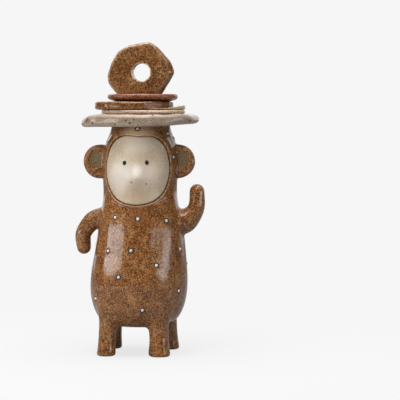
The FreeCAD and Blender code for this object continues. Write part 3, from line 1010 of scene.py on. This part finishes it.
# The lower slab is browner at the front of its middle, and the chip pale at its tip.
patch(pink_glaze, (-8, -33, 169), 30, "#87572E", 0.35)
patch(pale_glaze, (34, 0, 177), 16, "#E6DAB8", 0.9)
# Brown with flecks as close as ground pepper.
speckled_glaze = glaze(
    "pepper-brown glaze", "#845428", "#6A401A", "#9C764A", "#A87848", "#3C1E0A", fleck_share=0.44)
# Iron red, darker in its clouds, with tan edges of thin glaze and painted highlight.
red_glaze = glaze(
    "iron red glaze", "#76321A", "#50200C", "#844424", "#AC7048", "#260E04", fleck_share=0.38,
    shine=0.16)
make_slab("hat_brim", brim, brim_glaze, "brim_glaze")
make_slab("hat_lower_slab", slab(
    "hat_lower_slab", [1.0, 0.97, 1.01, 0.98, 0.96, 1.0, 1.0, 0.97, 0.94, 0.98, 1.0, 1.01],
    rounding=1.1, seed=23, swell=0.15), pink_glaze, "pink_glaze")
make_slab("hat_chip_slab", slab(
    "hat_chip_slab", [1.0, 0.95, 0.88, 0.93, 0.98, 0.96, 1.0, 0.95, 0.97, 1.0, 0.96, 1.01],
    rounding=0.9, under=(0.4, 4), over=(1.3, 60), lift=(2.4, 11), seed=25, swell=0.1),
    pale_glaze, "pale_glaze", step=chip_step)
make_slab("hat_speckled_slab", slab(
    "hat_speckled_slab", [1.0, 0.96, 1.0, 0.97, 0.93, 0.93, 1.0, 0.92, 0.93, 0.99, 1.0, 0.97],
    rounding=1.2, under=(0.9, 5), over=(-0.5, 40), seed=27, swell=0.25),
    speckled_glaze, "speckled_glaze")
make_slab("hat_red_slab", slab(
    "hat_red_slab", [1.0, 1.01, 0.95, 0.97, 1.0, 1.02, 1.0, 0.96, 0.98, 1.0, 0.97, 1.0],
    rounding=1.7, under=(3.2, 15), over=(-0.4, 40), seed=29, swell=0.15), red_glaze, "red_glaze")


# The pierced stone on top: an uneven five-sided tablet cut from thick slab, its edges scraped to
# a narrow bevel and its hole drilled while leather-hard. The glaze runs thin along the bevels,
# and their pale colour is also a painted highlight.
stone_low, stone_high = node_box("hat_stone")
stone_half = (stone_high - stone_low) / 2
stone_foot = stone_low[2]
stone_half_width = 23.3
stone_shift = 0.9
stone_bevel = 1.3
stone_bevel_slope = 0.72
stone_bevel_rounding = 1.1
stone_edge_rounding = 0.8
# The right end is scraped wider: by how much, from what x on, and over what reach.
stone_right_bevel = 1.6
right_bevel_start = 8.0
right_bevel_reach = 14.0
stone_hole_radius = 6.3
stone_hole_ease = 0.15
stone_hole_place = (1.75, 196.36)
stone_corner = 2.4
corner_limit_share = 0.45
corner_steps = 6
stone_outline_shares = [
    (-0.65, 0.0), (-0.96, 0.22), (-1.01, 0.37), (-0.86, 0.64), (-0.67, 0.825), (-0.31, 0.945),
    (0.28, 1.005), (0.54, 0.89), (0.905, 0.63), (1.035, 0.434), (0.60, 0.0),
]


def worn(points, size):
    """An outline whose corners are worn round over a size."""
    line = []
    for before, corner, after in zip(np.roll(points, 1, 0), points, np.roll(points, -1, 0)):
        ends = []
        for other in (before, after):
            along = other - corner
            length = np.linalg.norm(along)
            ends.append(corner + along * min(size, corner_limit_share * length) / length)
        for t in np.linspace(0, 1, corner_steps):
            line.append((1 - t) ** 2 * ends[0] + 2 * t * (1 - t) * corner + t ** 2 * ends[1])
    return np.array(line)


stone_points = np.array(stone_outline_shares) * [stone_half_width, stone_high[2] - stone_foot]
stone_cut = flat_distance(worn(stone_points + [stone_shift, stone_foot], stone_corner))
# The swells of its rim and its faces: depth, size and seed.
stone_rim_swell = (0.15, 12, 31)
stone_face_swell = (0.2, 22, 32)


def stone(p):
    """The tablet, with its bevelled rim and its hole."""
    edge = stone_cut(p[:, 0], p[:, 2]) + unevenness(p, *stone_rim_swell)
    face = np.abs(p[:, 1]) - stone_half[1] + unevenness(p, *stone_face_swell)
    wider = np.clip((p[:, 0] - right_bevel_start) / right_bevel_reach, 0, 1)
    bevel = stone_bevel + stone_right_bevel * wider
    slope = (edge + face + bevel) * stone_bevel_slope
    clay = carve(carve(edge, face, stone_edge_rounding), slope, stone_bevel_rounding)
    hole = np.hypot(p[:, 0] - stone_hole_place[0], p[:, 2] - stone_hole_place[1])
    return carve(clay, stone_hole_radius - stone_hole_ease - hole, stone_edge_rounding)


# Tan over the same clay, thickly flecked, and pale along the scraped bevels: thin glaze and painted
# highlight.
stone_glaze = glaze(
    "speckled tan stoneware glaze", "#8C5A2C", "#703C16", "#AE8654", "#DCC4A4", "#3E200C",
    mottle=11, fleck_share=0.40)
make_slab("hat_stone", stone, stone_glaze, "stone_glaze", margin=1.0)


# The stage: a plain pale floor that runs out into a background of the same colour, soft studio
# light, and the camera a little round towards the raised arm, just above the hat's brim.
camera_turn = math.radians(7.5)
camera_distance = 1225.0
camera_height = 171.5
view_width = 280.0
photo_pixels = 400
axis_pixel_x = 139.7
ground_pixel_y = 353.0
pixel = view_width / photo_pixels
view_side = np.array([math.cos(camera_turn), math.sin(camera_turn), 0])
camera_place = camera_distance * np.array([math.sin(camera_turn), -math.cos(camera_turn), 0])
camera_place[2] = camera_height
aim = view_side * (photo_pixels / 2 - axis_pixel_x) * pixel
aim[2] = (ground_pixel_y - photo_pixels / 2) * pixel
near_clip = 0.01
camera = bpy.data.objects.new("camera", bpy.data.cameras.new("camera"))
camera.data.angle = 2 * math.atan(view_width / 2 / camera_distance)
camera.data.clip_start = near_clip
camera.location = camera_place * mm
camera.rotation_euler = (Vector(aim - camera_place)).to_track_quat("-Z", "Y").to_euler()
bpy.context.scene.collection.objects.link(camera)
bpy.context.scene.camera = camera

paper = hex_colour("#F6F6F6")


def seen_share(tree):
    """1 where the camera looks straight or through something clear, and 0 elsewhere."""
    path = add(tree, "ShaderNodeLightPath").outputs
    return add(tree, "ShaderNodeMath", {
        0: path["Is Camera Ray"], 1: path["Is Transmission Ray"]}, operation="MAXIMUM").outputs[0]


# The room that lights the glaze and shows in its gloss: pale behind and above, dim in front. The
# glaze mirrors this and not the plain background, which would turn all of it milky. Each: the
# way, where the room starts to pale and where it is palest, and its dim and its pale strength.
room_sides = (("Y", 0.60, 0.80, 0.10, 0.95), ("Z", 0.40, 0.80, 0.12, 0.90))
world = bpy.data.worlds.new("pale room")
bpy.context.scene.world = world
world.use_nodes = True
room = world.node_tree
way = add(room, "ShaderNodeTexCoord").outputs["Generated"]
way = add(room, "ShaderNodeSeparateXYZ", {0: way}).outputs
behind, above = [add(room, "ShaderNodeMapRange", {
    "Value": way[axis], "From Min": start, "From Max": full, "To Min": dim, "To Max": pale})
    for axis, start, full, dim, pale in room_sides]
bright = add(
    room, "ShaderNodeMath", {0: behind.outputs[0], 1: above.outputs[0]}, operation="MAXIMUM")
room_light = add(room, "ShaderNodeMix", {
    0: seen_share(room), 6: bright.outputs[0], 7: paper}, data_type="RGBA")
room.links.new(room_light.outputs[2], room.nodes["Background"].inputs["Color"])


lit_height = 75


def panel(name, turn, rise, far, size, radiance, tilt=0.0):
    """A soft light panel that faces the belly, from a turn off the camera and a rise."""
    lamp = bpy.data.lights.new(name, "AREA")
    lamp.shape = "RECTANGLE"
    lamp.size, lamp.size_y = [length * mm for length in size]
    lamp.energy = radiance * math.pi * lamp.size * lamp.size_y
    made = bpy.data.objects.new(name, lamp)
    turn, rise = camera_turn + math.radians(turn), math.radians(rise)
    out = Vector((math.sin(turn) * math.cos(rise), -math.cos(turn) * math.cos(rise), math.sin(rise)))
    made.location = Vector((0, 0, lit_height * mm)) + out * far * mm
    facing = out.to_track_quat("Z", "Y").to_matrix().to_4x4()
    made.matrix_world = Matrix.Translation(made.location) @ facing @ Matrix.Rotation(
        math.radians(tilt), 4, "Z")
    made.visible_camera = False
    bpy.context.scene.collection.objects.link(made)
    return made


# The windows' panes, from the top down. Each: turn, rise, size and, on the right, tilt. The left
# window leans as its reflection on the belly does, and of the right one, which stands far off,
# only the reflection counts: a top light, two sashes and a sill.
window_far = 620
left_radiance = 5.0
right_radiance = 3.5
left_panes = (
    (-58, 10.3, (264, 20)), (-71, 8.1, (560, 28)), (-77, 5.7, (450, 25)), (-76, 4.0, (264, 12)))
right_panes = (
    (56, 10.0, (716, 20), -3), (70, 5.5, (275, 34), 0), (57, 2.9, (400, 34), 0),
    (57, -0.9, (218, 46), 0))
for turn, rise, size in left_panes:
    panel("left window", turn, rise, window_far, size, left_radiance)
for turn, rise, size, tilt in right_panes:
    pane = panel("right window", turn, rise, window_far, size, right_radiance, tilt)
    pane.visible_diffuse = False
# Softboxes: turn, rise, distance, size and radiance. The two in front only light the clay, and
# their own shapes don't show in its gloss.
panel("overhead softbox", -20, 80, 900, (900, 900), 3.1)
panel("front softbox", -30, 26, 900, (420, 220), 4.8).visible_glossy = False
panel("front fill", -38, 8, 1600, (1800, 1200), 0.9).visible_glossy = False

# The floor: white paper that takes a soft shadow near the figurine and runs out plain.
floor_half = 3.0
shadow_reach = (0.16, 0.42)
shadow_paper_share = 0.8
shown_paper = hex_colour("#DCDCDC")
bounce_paper = hex_colour("#9A9A9A")
floor_mesh = bpy.data.meshes.new("floor")
floor_mesh.from_pydata([
    (-floor_half, -floor_half, 0), (floor_half, -floor_half, 0),
    (floor_half, floor_half, 0), (-floor_half, floor_half, 0)], [], [(0, 1, 2, 3)])
floor = bpy.data.objects.new("floor", floor_mesh)
bpy.context.scene.collection.objects.link(floor)
paper_material = bpy.data.materials.new("white paper")
paper_material.use_nodes = True
sheet = paper_material.node_tree
sheet.nodes.clear()
ground = add(sheet, "ShaderNodeTexCoord").outputs["Object"]
far = add(sheet, "ShaderNodeVectorMath", {0: ground}, operation="LENGTH").outputs["Value"]
plain = add(sheet, "ShaderNodeMapRange", {
    "Value": far, "From Min": shadow_reach[0], "From Max": shadow_reach[1],
    "To Min": shadow_paper_share, "To Max": 1.0}).outputs[0]
seen = seen_share(sheet)
share = add(sheet, "ShaderNodeMath", {0: plain, 1: seen}, operation="MULTIPLY").outputs[0]
bounce = add(sheet, "ShaderNodeMix", {
    0: seen, 6: bounce_paper, 7: shown_paper}, data_type="RGBA").outputs[2]
lit = add(sheet, "ShaderNodeBsdfDiffuse", {"Color": bounce}).outputs[0]
glow = add(sheet, "ShaderNodeEmission", {"Color": paper}).outputs[0]
mixed = add(sheet, "ShaderNodeMixShader", {0: share, 1: lit, 2: glow}).outputs[0]
add(sheet, "ShaderNodeOutputMaterial", {0: mixed})
floor_mesh.materials.append(paper_material)
bpy.context.scene.view_settings.view_transform = "Standard"
